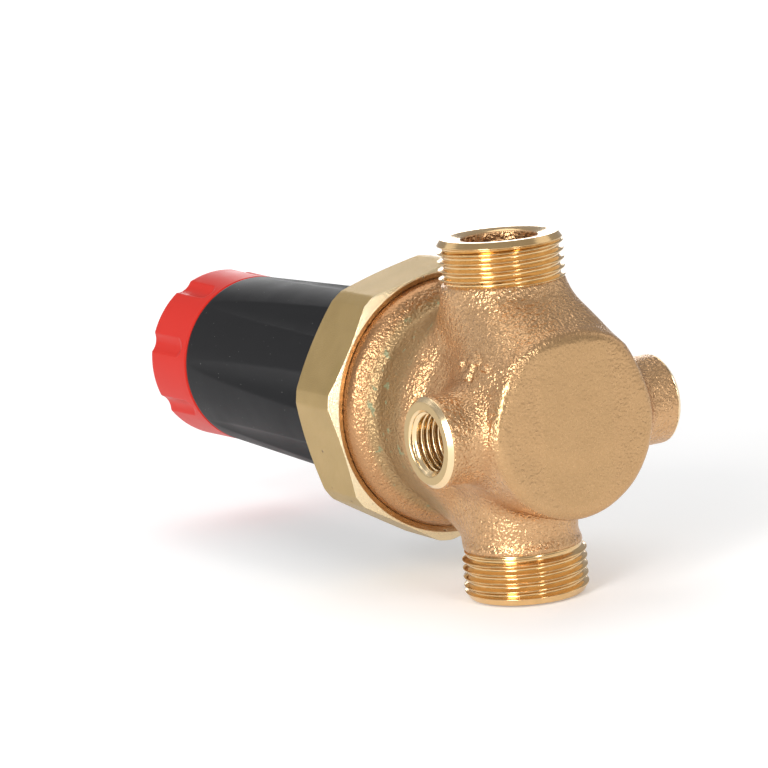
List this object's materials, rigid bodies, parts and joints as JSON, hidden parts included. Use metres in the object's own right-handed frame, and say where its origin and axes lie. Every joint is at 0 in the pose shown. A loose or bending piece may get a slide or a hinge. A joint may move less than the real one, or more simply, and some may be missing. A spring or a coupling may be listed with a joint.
{
  "type": "pressure reducing valve",
  "caption": "Inline pressure reducing valve: cast body with threaded pipe ends, gauge ports, union nut, spring bonnet and adjusting knob.",
  "frame": {"origin": "centre of the inlet connection's end face, on the pipe axis", "axes": "+Z along the pipe axis from inlet to outlet, +Y along the bonnet axis towards the adjusting knob, gauge ports at -X and +X"},
  "size_m": [0.0606, 0.1565, 0.076],
  "materials": {
    "cast_bronze": "as cast, with machined threads and faces",
    "nut_brass": "satin, with turned bright chamfers",
    "turned_brass": "turned",
    "steel": "zinc plated",
    "spring_steel": "drawn wire",
    "stainless": "satin",
    "bonnet_plastic": "moulded satin",
    "knob_plastic": "moulded satin gloss",
    "acetal": "moulded",
    "rubber": "moulded"
  },
  "bodies": {
    "housing": {"valve_body": "cast_bronze", "union_nut": "nut_brass", "bonnet": "bonnet_plastic", "spindle_thrust_washer": "acetal", "slip_ring": "acetal", "diaphragm": "rubber", "set_spring": "spring_steel", "cartridge_housing": "acetal", "cartridge_oring_upper": "rubber", "cartridge_oring_lower": "rubber", "inlet_strainer": "stainless", "valve_seat": "stainless"},
    "knob": {"adjusting_knob": "knob_plastic", "knob_lock_screw": "steel", "adjusting_spindle": "turned_brass", "spindle_clip": "spring_steel"},
    "spring_follower": {"spring_plate": "turned_brass"},
    "valve_trim": {"valve_stem": "turned_brass", "piston_seal": "rubber", "diaphragm_plate": "turned_brass", "diaphragm_support": "turned_brass", "stem_lock_nut": "turned_brass", "disc_holder": "turned_brass", "disc_seal": "rubber", "disc_lock_washer": "stainless", "disc_nut": "turned_brass"}
  },
  "joints": [
    {"name": "knob_turn", "type": "hinge", "parent": "housing", "child": "knob", "pos_m": [0, 0.12, 0.038], "axis": [0, -1, 0], "range_deg": [0, 1980]},
    {"name": "plate_travel", "type": "slide", "parent": "housing", "child": "spring_follower", "axis": [0, -1, 0], "range_m": [0, 0.0111], "deforming": ["set_spring"]},
    {"name": "stem_lift", "type": "slide", "parent": "housing", "child": "valve_trim", "axis": [0, -1, 0], "range_m": [0, 0.003], "deforming": ["set_spring", "diaphragm"]}
  ],
  "couplings": [
    {"joint": "plate_travel", "follows": "knob_turn", "m_per_rad": 0.00031831}
  ]
}
